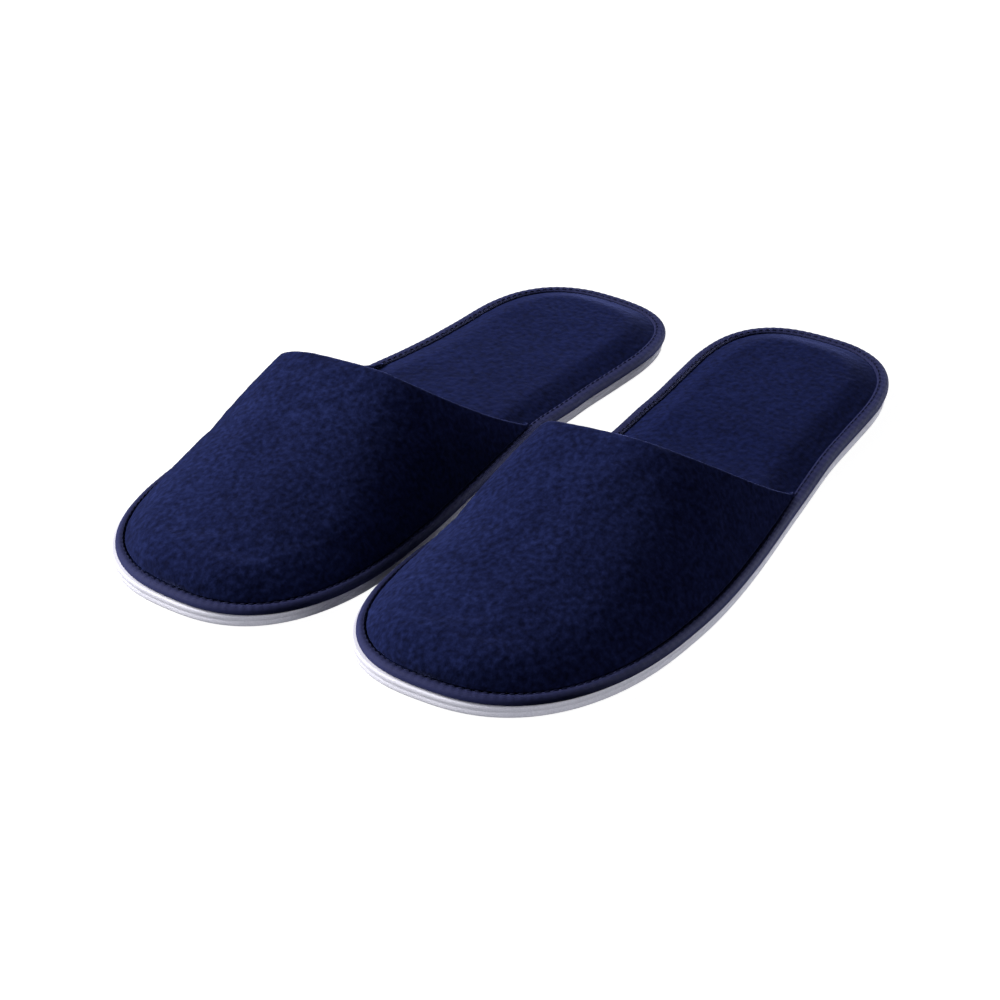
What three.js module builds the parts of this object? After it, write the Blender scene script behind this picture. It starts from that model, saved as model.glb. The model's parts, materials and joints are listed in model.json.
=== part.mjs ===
// A pair of closed-toe spa slippers: velour upper and insole, edge binding, thin foam sole.
// Millimetres, +Z up, toes toward -Y. Each slipper is drawn as the left one and mirrored for the right.
import * as THREE from 'three';
import { mergeVertices } from 'three/addons/utils/BufferGeometryUtils.js';

// --- plan shape of one slipper, measured at the outside of the edge binding
const SLIPPER_LENGTH = 285;
const FOREFOOT_HALF_WIDTH = 55;
const HEEL_HALF_WIDTH = 40;
const FOREFOOT_FULL_UNTIL_Y = -60;
const HEEL_NARROW_FROM_Y = 75;
const TOE_CAP_START_Y = -65;
const HEEL_CAP_START_Y = 95;
const TOE_ROUNDNESS = 2.5;
const HEEL_ROUNDNESS = 2.6;
// the centre line bows toward the outside of the foot and turns in at the toe
const BOW_OUTWARD = 3.5;
const BOW_Y = 20;
const TOE_TURN_IN = 7.5;
const HEEL_TURN_IN = 3;

// --- heights and thicknesses of the sole stack, from the floor up
const OUTSOLE_THICKNESS = 4.5;
const OUTSOLE_MARGIN = 1;
const LAYER_GAP = 0.2;
const BOARD_BOTTOM = 5.35;
const BOARD_THICKNESS = 0.4;
const PADDING_BOTTOM = 5.95;
const COVER_THICKNESS = 0.7;
const COVER_EDGE_TOP = 7.1;
const COVER_CROWN = 4;
const CROWN_FROM_INSET = 4.6;
const CROWN_RUN = 15;
const CROWN_POWER = 0.75;
const STACK_INSET = 2.9;

// --- edge binding, a folded strip: points are [inset from the outline, height]
const BINDING_SECTION = [
  [4.4, 4.7], [1.3, 4.7], [0.3, 5.3], [0, 6.2], [0.4, 7.3], [1.8, 8.1], [4.4, 8],
  [4.4, 7.4], [1.9, 7.4], [0.8, 6.2], [1.7, 5.15], [4.4, 5.15],
];
const EDGE_THREAD_INSET = 3.5;
const EDGE_THREAD_HEIGHT = 8.7;
const THREAD_RADIUS = 0.35;

// --- vamp
const VAMP_INSET = 4.9;
const VAMP_RISE = { right: 40.5, left: 41.8 };
const TOE_BULGE = 10;
const TOE_BULGE_SHARE = 0.12;
const TOE_BULGE_POWER = 2.2;
const RIDGE_POWER = 1.3;
const RIDGE_END = 1.05;
const SECTION_FLATNESS = 3.4;
const SECTION_ROUNDING = 0.95;
const THROAT_CENTRE_Y = -32;
const THROAT_SWEEP = 63;
const THROAT_SWEEP_POWER = 4.4;
const THROAT_SKEW = 2;
const SHELL_THICKNESS = 1.2;
const VAMP_PADDING_THICKNESS = 3;
const LINING_THICKNESS = 0.9;
const TURNED_EDGE = 8;
const EDGE_ROUNDING = 2;
const VAMP_FOOT_GAP = 1.1;
const FOOT_TAPER = 0.4;
const TAPER_HEIGHT = 14;
const LINING_SHORT = 2;
const VAMP_GAP = 0.4;
const VAMP_ROWS = 12;
const VAMP_COLUMNS = 14;
const ROW_CROWDING = 1.7;
const SEAM_FROM_COLUMN = 2;

// --- the cut across the sole stack where it bends, and how far the left heel curls up at rest
const FLEX_Y = 44;
const FLEX_GAP = 0.3;
const FLEX_HEIGHT = 11.4;
const LEFT_HEEL_CURL_DEG = 5.4;

// --- how the two slippers stand beside each other
const SPACING = 107.3;
const STAGGER = 4.5;
const TOE_OUT_DEG = 1.8;

// --- how finely the outline and the layers are divided
const OUTLINE_SAMPLES = 1200;
const DENSE = 120;
const RIM_STEPS = 32;
const RIM_STOPS_BEFORE_CUT = 2;
const OUTSOLE_ROWS = 26;
const BOARD_ROWS = 22;
const INSOLE_ROWS = 8;
const INSOLE_COLUMNS = 8;

// ---------------------------------------------------------------- plan outline
const clamp01 = (t) => Math.min(1, Math.max(0, t));
const smooth = (t) => clamp01(t) ** 2 * (3 - 2 * clamp01(t));
const HALF_LENGTH = SLIPPER_LENGTH / 2;

function halfWidth(y) {
  const taper = smooth((y - FOREFOOT_FULL_UNTIL_Y) / (HEEL_NARROW_FROM_Y - FOREFOOT_FULL_UNTIL_Y));
  const base = FOREFOOT_HALF_WIDTH + (HEEL_HALF_WIDTH - FOREFOOT_HALF_WIDTH) * taper;
  const toe = clamp01((TOE_CAP_START_Y - y) / (TOE_CAP_START_Y + HALF_LENGTH));
  const heel = clamp01((y - HEEL_CAP_START_Y) / (HALF_LENGTH - HEEL_CAP_START_Y));
  const toeCap = (1 - toe ** TOE_ROUNDNESS) ** (1 / TOE_ROUNDNESS);
  const heelCap = (1 - heel ** HEEL_ROUNDNESS) ** (1 / HEEL_ROUNDNESS);
  return base * toeCap * heelCap;
}

function centreLine(y) {
  const toward = y < BOW_Y ? (BOW_Y - y) / (BOW_Y + HALF_LENGTH) : (y - BOW_Y) / (HALF_LENGTH - BOW_Y);
  return BOW_OUTWARD - (y < BOW_Y ? TOE_TURN_IN : HEEL_TURN_IN) * toward ** 2;
}

// one side of the outline from toe tip to heel tip, evenly spaced along the edge
function outlineSide(side) {
  const fine = [];
  for (let k = 0; k <= OUTLINE_SAMPLES; k += 1) {
    const y = -HALF_LENGTH * Math.cos((Math.PI * k) / OUTLINE_SAMPLES);
    fine.push(new THREE.Vector2(centreLine(y) + side * halfWidth(y), y));
  }
  const run = [0];
  fine.slice(1).forEach((p, k) => run.push(run[k] + p.distanceTo(fine[k])));
  const points = [];
  for (let k = 0, at = 0; k <= DENSE; k += 1) {
    const want = (run[run.length - 1] * k) / DENSE;
    while (at < run.length - 2 && run[at + 1] < want) at += 1;
    const t = clamp01((want - run[at]) / (run[at + 1] - run[at]));
    points.push(fine[at].clone().lerp(fine[at + 1], t));
  }
  return points;
}

const OUTLINE = [...outlineSide(1), ...outlineSide(-1).reverse().slice(1, -1)];

// the closed outline moved inward by a distance (outward when negative)
function insetOutline(inset) {
  const n = OUTLINE.length;
  return OUTLINE.map((p, k) => {
    const along = OUTLINE[(k + 1) % n].clone().sub(OUTLINE[(k + n - 1) % n]).normalize();
    return new THREE.Vector2(p.x - along.y * inset, p.y + along.x * inset);
  });
}

const spanCache = new Map();

// x range of an inset outline at a given y
function span(inset, y) {
  if (!spanCache.has(inset)) {
    const ring = insetOutline(inset);
    const left = [ring[0], ...ring.slice(DENSE).reverse()];
    spanCache.set(inset, { right: ring.slice(0, DENSE + 1), left });
  }
  const read = (side) => {
    let k = 0;
    while (k < side.length - 2 && side[k + 1].y < y) k += 1;
    const t = clamp01((y - side[k].y) / (side[k + 1].y - side[k].y));
    return side[k].x + (side[k + 1].x - side[k].x) * t;
  };
  const both = spanCache.get(inset);
  return [read(both.left), read(both.right)];
}

// shortest distance from a point inside the outline to the outline
function insetAt(x, y) {
  return Math.sqrt(Math.min(...OUTLINE.map((p) => (p.x - x) ** 2 + (p.y - y) ** 2)));
}

const acrossAt = (inset, across, y) => {
  const [low, high] = span(inset, y);
  return (low + high) / 2 + (across * (high - low)) / 2;
};

// ---------------------------------------------------------------- closed bodies
// outer and inner are equal grids of points; the body fills the space between them
function slab(outer, inner) {
  const rows = outer.length;
  const cols = outer[0].length;
  const points = [...outer.flat(), ...inner.flat()].flat();
  const index = [];
  const quad = (a, b, c, d) => index.push(a, b, c, a, c, d);
  const at = (k, j, under) => (under ? rows * cols : 0) + k * cols + j;
  for (let k = 0; k < rows - 1; k += 1) {
    for (let j = 0; j < cols - 1; j += 1) {
      quad(at(k, j), at(k, j + 1), at(k + 1, j + 1), at(k + 1, j));
      quad(at(k, j, true), at(k + 1, j, true), at(k + 1, j + 1, true), at(k, j + 1, true));
    }
    quad(at(k, 0), at(k + 1, 0), at(k + 1, 0, true), at(k, 0, true));
    quad(at(k, cols - 1), at(k, cols - 1, true), at(k + 1, cols - 1, true), at(k + 1, cols - 1));
  }
  for (let j = 0; j < cols - 1; j += 1) {
    quad(at(0, j), at(0, j, true), at(0, j + 1, true), at(0, j + 1));
    quad(at(rows - 1, j), at(rows - 1, j + 1), at(rows - 1, j + 1, true), at(rows - 1, j, true));
  }
  return closed(points, index);
}

// a section (closed ring of points) at each station, capped at both ends
function sweep(sections) {
  const around = sections[0].length;
  const index = [];
  for (let k = 0; k < sections.length - 1; k += 1) {
    for (let j = 0; j < around; j += 1) {
      const a = k * around + j;
      const b = k * around + ((j + 1) % around);
      index.push(a, b, b + around, a, b + around, a + around);
    }
  }
  const cap = THREE.ShapeUtils.triangulateShape(capShape(sections[0]), []);
  const last = (sections.length - 1) * around;
  const turn = ringTurn(sections[0]);
  cap.forEach(([a, b, c]) => {
    index.push(...(turn ? [a, c, b] : [a, b, c]));
    index.push(...(turn ? [last + a, last + b, last + c] : [last + a, last + c, last + b]));
  });
  return closed(sections.flat(2), index);
}

// a ring of 3-D points seen in its own plane, as [distance from the first point, height]
function capShape(ring) {
  const [x0, y0] = ring[0];
  const reach = (p) => Math.hypot(p[0] - x0, p[1] - y0);
  const far = ring.reduce((best, p) => (reach(p) > reach(best) ? p : best));
  const size = reach(far);
  const along = [(far[0] - x0) / size, (far[1] - y0) / size];
  return ring.map((p) => new THREE.Vector2((p[0] - x0) * along[0] + (p[1] - y0) * along[1], p[2]));
}

const ringTurn = (ring) => THREE.ShapeUtils.isClockWise(capShape(ring)) === false;

// drop the slivers where rows meet in one point, weld, and face every body outward
function closed(points, index) {
  const raw = new THREE.BufferGeometry();
  raw.setAttribute('position', new THREE.Float32BufferAttribute(points, 3));
  raw.setIndex(index);
  const welded = mergeVertices(raw, 1e-3);
  const tri = [];
  for (let k = 0; k < welded.index.count; k += 3) {
    const [a, b, c] = [0, 1, 2].map((j) => welded.index.getX(k + j));
    if (a !== b && b !== c && a !== c) tri.push(a, b, c);
  }
  welded.setIndex(volume(welded, tri) < 0 ? flipped(tri) : tri);
  return welded;
}

const flipped = (tri) => tri.map((_, k) => tri[k - (k % 3) + [0, 2, 1][k % 3]]);

function volume(geometry, tri) {
  const p = geometry.attributes.position;
  const v = (k) => new THREE.Vector3().fromBufferAttribute(p, tri[k]);
  let total = 0;
  for (let k = 0; k < tri.length; k += 3) total += v(k).dot(v(k + 1).cross(v(k + 2)));
  return total / 6;
}

// ---------------------------------------------------------------- sole stack
// positions across, from -1 to 1, closer together toward both edges
const spread = (count) =>
  Array.from({ length: count + 1 }, (_, j) => Math.sin((Math.PI / 2) * ((2 * j) / count - 1)));

// rows of y for the forefoot or the heel part, closer together toward the tip
function rowsOf(part, inset, count) {
  const cut = FLEX_Y + (part === 'front' ? -FLEX_GAP / 2 : FLEX_GAP / 2);
  const tip = part === 'front' ? -HALF_LENGTH + inset : HALF_LENGTH - inset;
  const along = (k) => 1 - Math.cos((Math.PI / 2) * (k / count));
  return Array.from({ length: count + 1 }, (_, k) => tip + (cut - tip) * along(k));
}

// a layer of the sole stack; top and bottom are heights as functions of the plan position
function layer(part, inset, rows, columns, top, bottom) {
  const grid = (height) => rowsOf(part, inset, rows).map((y) => columns.map((across) => {
    const x = acrossAt(inset, across, y);
    return [x, y, height(x, y)];
  }));
  return slab(grid(top), grid(bottom));
}

const coverTop = (inset) =>
  COVER_EDGE_TOP + COVER_CROWN * smooth((inset - CROWN_FROM_INSET) / CROWN_RUN) ** CROWN_POWER;
const crown = (x, y) => coverTop(insetAt(x, y));

const outsole = (part) =>
  layer(part, -OUTSOLE_MARGIN, OUTSOLE_ROWS, [-1, 1], () => OUTSOLE_THICKNESS, () => 0);

const insoleBoard = (part) => layer(part, STACK_INSET, BOARD_ROWS, [-1, 1],
  () => BOARD_BOTTOM + BOARD_THICKNESS, () => BOARD_BOTTOM);

const insolePadding = (part) => layer(part, STACK_INSET, INSOLE_ROWS, spread(INSOLE_COLUMNS),
  (x, y) => crown(x, y) - COVER_THICKNESS - LAYER_GAP, () => PADDING_BOTTOM);

const insoleCover = (part) => layer(part, STACK_INSET, INSOLE_ROWS, spread(INSOLE_COLUMNS),
  crown, (x, y) => crown(x, y) - COVER_THICKNESS);

// stations round the rim of one part: position on the outline and inward direction
function rimStations(part) {
  const n = OUTLINE.length;
  const cut = FLEX_Y + (part === 'front' ? -FLEX_GAP / 2 : FLEX_GAP / 2);
  const before = RIM_STOPS_BEFORE_CUT;
  const inside = (p) => (part === 'front' ? p.y < cut - before : p.y > cut + before);
  const start = OUTLINE.findIndex((p, k) => inside(p) && !inside(OUTLINE[(k + n - 1) % n]));
  const kept = [];
  for (let k = start; kept.length < n && inside(OUTLINE[k % n]); k += 1) kept.push(k % n);
  const pick = (step) => kept[Math.round((step * (kept.length - 1)) / RIM_STEPS)];
  const stations = Array.from({ length: RIM_STEPS + 1 }, (_, step) => pick(step));
  const rim = stations.map((k) => {
    const along = OUTLINE[(k + 1) % n].clone().sub(OUTLINE[(k + n - 1) % n]).normalize();
    return { at: OUTLINE[k], inward: new THREE.Vector2(-along.y, along.x) };
  });
  // carried on straight to the cut
  const toCut = ({ at, inward }) => {
    const along = new THREE.Vector2(inward.y, -inward.x);
    const end = at.clone().addScaledVector(along, (cut - at.y) / along.y);
    return { at: end, inward: new THREE.Vector2(Math.sign(inward.x), 0) };
  };
  return [toCut(rim[0]), ...rim, toCut(rim[rim.length - 1])];
}

const alongRim = (part, section) => sweep(rimStations(part).map(({ at, inward }) =>
  section.map(([inset, z]) => [at.x + inward.x * inset, at.y + inward.y * inset, z])));

const edgeBinding = (part) => alongRim(part, BINDING_SECTION);

function edgeThread(part) {
  const ring = Array.from({ length: 4 }, (_, j) => {
    const turn = (Math.PI / 2) * j;
    const inset = EDGE_THREAD_INSET + THREAD_RADIUS * Math.cos(turn);
    return [inset, EDGE_THREAD_HEIGHT + THREAD_RADIUS * Math.sin(turn)];
  });
  return alongRim(part, ring);
}

// ---------------------------------------------------------------- vamp
const throatY = (across) =>
  THROAT_CENTRE_Y + THROAT_SKEW * across + THROAT_SWEEP * Math.abs(across) ** THROAT_SWEEP_POWER;

// rise of the ridge above the insole edge, from the toe tip (0) to the throat (1 and beyond)
function ridge(share, rise) {
  const bulge = Math.sqrt(1 - (1 - clamp01(share / TOE_BULGE_SHARE)) ** TOE_BULGE_POWER);
  return TOE_BULGE * bulge + (rise - TOE_BULGE) * Math.min(share, RIDGE_END) ** RIDGE_POWER;
}

const VAMP_TIP_Y = -HALF_LENGTH + VAMP_INSET;

// a point of the vamp's outer face, across from -1 to 1
function vampPoint(rise, across, y) {
  const share = Math.max(0, (y - VAMP_TIP_Y) / (THROAT_CENTRE_Y - VAMP_TIP_Y));
  const arch = clamp01(1 - Math.abs(across) ** SECTION_FLATNESS) ** SECTION_ROUNDING;
  const foot = coverTop(VAMP_INSET) + VAMP_FOOT_GAP;
  return new THREE.Vector3(acrossAt(VAMP_INSET, across, y), y, foot + ridge(share, rise) * arch);
}

// the way into the thickness: square to the face, but level along the foot that stands on the insole
function vampInward(rise, across, y) {
  if (y <= VAMP_TIP_Y) return new THREE.Vector3(0, 1, FOOT_CLIMB);
  const step = 0.01;
  if (Math.abs(across) > 1 - step) {
    const edgeX = (past) => acrossAt(VAMP_INSET, across, y + past);
    const lean = (edgeX(step) - edgeX(-step)) / (2 * step);
    const level = new THREE.Vector2(-1, lean).multiplyScalar(Math.sign(across)).normalize();
    return new THREE.Vector3(level.x, level.y, FOOT_CLIMB);
  }
  const sideways = vampPoint(rise, across + step, y).sub(vampPoint(rise, across - step, y));
  const forward = vampPoint(rise, across, y + step).sub(vampPoint(rise, across, y - step));
  return forward.cross(sideways).normalize();
}

// a row of points across the vamp, at a depth below the outer face; yOf gives y for each across.
// The layers are pressed thinner toward the foot, where they are stitched down.
function vampRow(rise, depth, yOf) {
  return spread(VAMP_COLUMNS).map((across) => {
    const outer = vampPoint(rise, across, yOf(across));
    const height = outer.z - coverTop(VAMP_INSET) - VAMP_FOOT_GAP;
    const full = FOOT_TAPER + (1 - FOOT_TAPER) * smooth(height / TAPER_HEIGHT);
    return outer.addScaledVector(vampInward(rise, across, yOf(across)), depth * full).toArray();
  });
}

// rows from the toe tip to a line some distance short of the throat
function vampGrid(rise, depth, short) {
  const share = (k) => (k / VAMP_ROWS) ** ROW_CROWDING;
  return Array.from({ length: VAMP_ROWS + 1 }, (_, k) =>
    vampRow(rise, depth, (across) => VAMP_TIP_Y + (throatY(across) - short - VAMP_TIP_Y) * share(k)));
}

const PADDING_DEPTH = SHELL_THICKNESS + VAMP_GAP;
const LINING_DEPTH = PADDING_DEPTH + VAMP_PADDING_THICKNESS + VAMP_GAP;
const VAMP_DEPTH = LINING_DEPTH + LINING_THICKNESS;
const FOOT_DEPTH = FOOT_TAPER * VAMP_DEPTH;
const FOOT_CLIMB = (coverTop(VAMP_INSET + FOOT_DEPTH) - coverTop(VAMP_INSET)) / FOOT_DEPTH;

// velour shell: over the vamp, round the throat edge and a short way back along the inside
function vampShell(rise) {
  const folds = [0, 0.25, 0.5, 0.75, 1];
  const rowAt = (depth, past) => vampRow(rise, depth, (across) => throatY(across) + past);
  const fold = (from, to, out) => folds.map((t) =>
    rowAt(from + ((to - from) * (1 - Math.cos(Math.PI * t))) / 2, out * Math.sin(Math.PI * t)));
  const face = (from, to, out) => [...vampGrid(rise, from, TURNED_EDGE + LINING_SHORT),
    ...fold(from, to, out), rowAt(to, -TURNED_EDGE / 2), rowAt(to, -TURNED_EDGE)];
  return slab(face(0, VAMP_DEPTH, EDGE_ROUNDING),
    face(SHELL_THICKNESS, VAMP_DEPTH - SHELL_THICKNESS, EDGE_ROUNDING - SHELL_THICKNESS));
}

// sponge and lining both stop short of the turned edge
const vampPadding = (rise) => slab(vampGrid(rise, PADDING_DEPTH, TURNED_EDGE + LINING_SHORT),
  vampGrid(rise, PADDING_DEPTH + VAMP_PADDING_THICKNESS, TURNED_EDGE + LINING_SHORT));

const vampLining = (rise) => slab(vampGrid(rise, LINING_DEPTH, TURNED_EDGE + LINING_SHORT),
  vampGrid(rise, VAMP_DEPTH, TURNED_EDGE + LINING_SHORT));

// seam that holds the turned edge, just inside the throat
function throatThread(rise) {
  const depth = VAMP_DEPTH + 2 * LAYER_GAP + THREAD_RADIUS;
  const r = THREAD_RADIUS;
  const line = vampRow(rise, depth, (across) => throatY(across) - TURNED_EDGE / 2);
  const path = line.slice(SEAM_FROM_COLUMN, -SEAM_FROM_COLUMN);
  return sweep(path.map(([x, y, z]) => [[x, y - r, z], [x, y, z + r], [x, y + r, z], [x, y, z - r]]));
}

// ---------------------------------------------------------------- materials and nodes
const MATERIALS = {
  velour: { color: 0x10163a, roughness: 0.95 },
  binding: { color: 0x24285a, roughness: 0.7 },
  lining: { color: 0x1a2048, roughness: 0.9 },
  thread: { color: 0x0c1030, roughness: 0.8 },
  foam: { color: 0xd9d4c0, roughness: 0.9 },
  board: { color: 0xe6e6e2, roughness: 0.85 },
  outsole: { color: 0xececf2, roughness: 0.6 },
};

const PIECES = [
  ['outsole', outsole, 'outsole', true],
  ['insole_board', insoleBoard, 'board', true],
  ['insole_padding', insolePadding, 'foam', true],
  ['insole_cover', insoleCover, 'velour', true],
  ['edge_binding', edgeBinding, 'binding', true],
  ['edge_seam_thread', edgeThread, 'thread', true],
  ['vamp_shell', vampShell, 'velour', false],
  ['vamp_padding', vampPadding, 'foam', false],
  ['vamp_lining', vampLining, 'lining', false],
  ['throat_seam_thread', throatThread, 'thread', false],
];

function addPiece(group, name, geometry, look, side, curl) {
  const placed = geometry.clone();
  if (curl) {
    placed.translate(0, -FLEX_Y, -FLEX_HEIGHT);
    placed.rotateX(THREE.MathUtils.degToRad(curl));
    placed.translate(0, FLEX_Y, FLEX_HEIGHT);
  }
  if (side < 0) {
    placed.scale(-1, 1, 1);
    placed.setIndex(flipped(Array.from(placed.index.array)));
  }
  placed.rotateZ(THREE.MathUtils.degToRad(side * TOE_OUT_DEG));
  placed.translate((side * SPACING) / 2, (side * STAGGER) / 2, 0);
  placed.computeVertexNormals();
  const mesh = new THREE.Mesh(placed, new THREE.MeshStandardMaterial({ ...MATERIALS[look], metalness: 0 }));
  mesh.name = name;
  group.add(mesh);
}

const group = new THREE.Group();
for (const [side, foot] of [[-1, 'right'], [1, 'left']]) {
  for (const [name, build, look, divided] of PIECES) {
    for (const part of divided ? ['front', 'heel'] : ['']) {
      const curl = foot === 'left' && part === 'heel' ? LEFT_HEEL_CURL_DEG : 0;
      const label = [foot, name, part].filter(Boolean).join('_');
      addPiece(group, label, build(divided ? part : VAMP_RISE[foot]), look, side, curl);
    }
  }
}

// stand the pair on the floor with its plan centre at the origin
const box = new THREE.Box3().setFromObject(group);
const centre = box.getCenter(new THREE.Vector3());
group.children.forEach((mesh) => mesh.geometry.translate(-centre.x, -centre.y, -box.min.z));

export default group;
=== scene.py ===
"""A pair of spa slippers: velour uppers and insoles, taped edges and thin foam soles.

Every piece is drawn in millimetres in the frame of one left slipper (toes toward -Y, floor at z 0),
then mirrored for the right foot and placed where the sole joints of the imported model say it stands.
"""

import functools
import json
import math

import bmesh
import bpy
import numpy as np
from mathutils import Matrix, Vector, noise
from mathutils.kdtree import KDTree


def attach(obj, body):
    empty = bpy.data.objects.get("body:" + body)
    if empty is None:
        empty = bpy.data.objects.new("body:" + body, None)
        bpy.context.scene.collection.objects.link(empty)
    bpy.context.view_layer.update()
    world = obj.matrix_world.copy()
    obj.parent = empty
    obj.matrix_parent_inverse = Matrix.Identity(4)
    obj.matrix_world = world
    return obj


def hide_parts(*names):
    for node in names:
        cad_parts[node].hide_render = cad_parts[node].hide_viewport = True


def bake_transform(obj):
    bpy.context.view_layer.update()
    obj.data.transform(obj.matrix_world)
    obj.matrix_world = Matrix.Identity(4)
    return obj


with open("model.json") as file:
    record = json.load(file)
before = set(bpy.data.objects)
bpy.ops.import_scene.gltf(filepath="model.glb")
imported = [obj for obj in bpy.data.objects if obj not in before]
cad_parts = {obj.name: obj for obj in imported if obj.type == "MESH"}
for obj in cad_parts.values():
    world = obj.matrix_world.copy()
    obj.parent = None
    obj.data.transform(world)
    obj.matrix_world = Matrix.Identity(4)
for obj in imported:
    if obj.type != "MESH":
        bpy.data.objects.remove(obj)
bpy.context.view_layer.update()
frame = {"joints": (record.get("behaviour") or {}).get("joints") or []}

MM = 0.001

# --- plan shape, measured at the outside of the edge tape
LENGTH = 285
HALF_LENGTH = LENGTH / 2
FOREFOOT_HALF_WIDTH = 55
HEEL_HALF_WIDTH = 40
FOREFOOT_FULL_UNTIL_Y = -60
HEEL_NARROW_FROM_Y = 75
TOE_CAP_START_Y = -65
HEEL_CAP_START_Y = 95
TOE_ROUNDNESS = 2.5
HEEL_ROUNDNESS = 2.6
BOW_OUTWARD = 3.5
BOW_Y = 20
TOE_TURN_IN = 7.5
HEEL_TURN_IN = 3
SPINE_FROM_Y = -95
SPINE_TO_Y = 108

# --- sole stack, heights from the floor
SOLE_THICKNESS = 4.4
SOLE_MARGIN = 0.3
SOLE_CORNER = 0.7
SOLE_GROOVE_HEIGHT = 2.3
SOLE_GROOVE_DEPTH = 0.22
SOLE_GROOVE_HALF_WIDTH = 0.3
SOLE_CORNER_POINTS = 5
TREAD_PITCH = 4
TREAD_DEPTH = 0.35
TREAD_MARGIN = 5
TREAD_FADE = 1.5
STUD_RADIUS_SHARE = 0.3
BOARD_BOTTOM = 5.35
BOARD_TOP = 5.75
SPONGE_BOTTOM = 5.95
COVER_THICKNESS = 0.7
LAYER_GAP = 0.2
COVER_EDGE_TOP = 7.1
COVER_CROWN = 3.8
CROWN_FROM_INSET = 4.7
CROWN_RUN = 13
CROWN_POWER = 0.75
EDGE_ROLL = 0.3
EDGE_ROLL_FROM_INSET = 4.6
EDGE_ROLL_RUN = 1.6
UNEVEN_HEIGHT = 0.35
UNEVEN_WIDTH = 34
UNEVEN_LENGTH = 46
UNEVEN_RUN = 12
STACK_INSET = 2.9
SOLE_SIDEWAYS = {"right": 1.9, "left": -1.5}

# --- edge tape, folded round the rim of the insole: corners as [inset from the outline, height]
TAPE_OUTSIDE = [
    (4.4, 4.6), (2.4, 4.58), (1.0, 4.7), (0.2, 5.3), (0, 6.2),
    (0.25, 7.2), (1.0, 7.9), (2.4, 8.2), (4.6, 7.9),
]
TAPE_INSIDE = [(4.6, 7.3), (2.2, 7.5), (1.1, 7.0), (0.8, 6.2), (1.2, 5.45), (2.2, 5.15), (4.4, 5.15)]
TAPE_MIDDLE_HEIGHT = 6.2
TAPE_PULL = 0.06
TAPE_PULL_RISE = 1.6
TAPE_WANDER = 0.12
TAPE_WANDER_LENGTH = 9
TAPE_ROUND = 1.0
TAPE_NARROWING = 0.36
TAPE_FULL_FROM_Y = 40
TAPE_NARROW_TO_Y = 10
STITCH_PITCH = 3
STITCH_INSET = 3.7
STITCH_HEIGHT = 8.24
STITCH_DIVE = 0.75
STITCH_FLATNESS = 5
THREAD_RADIUS = 0.26

# --- upper
UPPER_INSET = 3.7
UPPER_RISE = {"right": 39.5, "left": 40.4}
TOE_BULGE = 10
TOE_BULGE_SHARE = 0.12
TOE_BULGE_POWER = 2.2
RIDGE_POWER = 1.3
RIDGE_END = 1.05
SECTION_FLATNESS = {"right": (3.4, 4.2), "left": (3.4, 3.4)}
THROAT_FLATNESS = {"right": (2.5, 5.0), "left": (4.9, 2.4)}
THROAT_SHAPE_FROM_SHARE = 0.55
SECTION_ROUNDING = 1.08
RIDGE_TOP_Y = -32
THROAT_CENTRE_Y = {"right": -31.5, "left": -28.9}
THROAT_SWEEP = {"right": (55, 70), "left": (62, 57)}
THROAT_SWEEP_POWER = {"right": (2.9, 7.8), "left": (5.7, 2.5)}
THROAT_SKEW = {"right": -4.3, "left": 4.0}
SHELL_THICKNESS = 1.2
SPONGE_THICKNESS = 3
LINING_THICKNESS = 0.9
UPPER_GAP = 0.4
SPONGE_DEPTH = SHELL_THICKNESS + UPPER_GAP
LINING_DEPTH = SPONGE_DEPTH + SPONGE_THICKNESS + UPPER_GAP
UPPER_DEPTH = LINING_DEPTH + LINING_THICKNESS
TURNED_EDGE = 8
LINING_SHORT = 0.4
SPONGE_SHORT = 2.5
EDGE_ROUNDING = 2.8
FOOT_GAP = 1.0
FOOT_TAPER = 0.4
TAPER_HEIGHT = 14

# --- relief of the pile: size of a tuft and how far it stands out
UPPER_TUFT = 2.4
UPPER_PILE = 0.2
INSOLE_TUFT = 2.0
INSOLE_PILE = 0.14

# --- cloth simulation of the padded velour, in Blender's units
CLOTH_FRAMES = 20
CLOTH_QUALITY = 5
CLOTH_MASS = 0.1
CLOTH_BENDING = 0.3
UPPER_PRESSURE = 1.2
UPPER_SLACK = 0.0015
UPPER_SWELL_CAP = 1.2
THROAT_FIRMNESS = 0.8
UPPER_CLOTH_ROWS = 50
UPPER_CLOTH_COLUMNS = 64
INSOLE_PRESSURE = 0.5
INSOLE_SLACK = 0.001
INSOLE_SWELL_CAP = 0.8
INSOLE_CLOTH_RINGS = 22
INSOLE_CLOTH_POINTS = 160

# --- how the sole bends behind the ball of the foot
FLEX_Y = 44
FLEX_HEIGHT = 11.4

# --- how each soft slipper lies: toes and heel pushed sideways, a wider heel, and the heel lifted
TOE_SHIFT = {"right": -2.8, "left": 0.7}
TOE_SHIFT_FROM_Y = -20
TOE_SHIFT_RUN = 80
TOE_LENGTHENING = 1.5
TOE_LENGTHENING_FROM_Y = -60
HEEL_WIDENING = {"right": 0.035, "left": 0.03}
HEEL_SHIFT = {"right": -1.5, "left": -0.7}
HEEL_WIDENING_FROM_Y = 25
HEEL_WIDENING_RUN = 35
LIFT_FROM_Y = {"right": 70, "left": 22}
LIFT_RUN = 40
LIFT_DEG = {"right": 1.3, "left": 4.4}

SIDE = {"right": -1, "left": 1}

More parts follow.
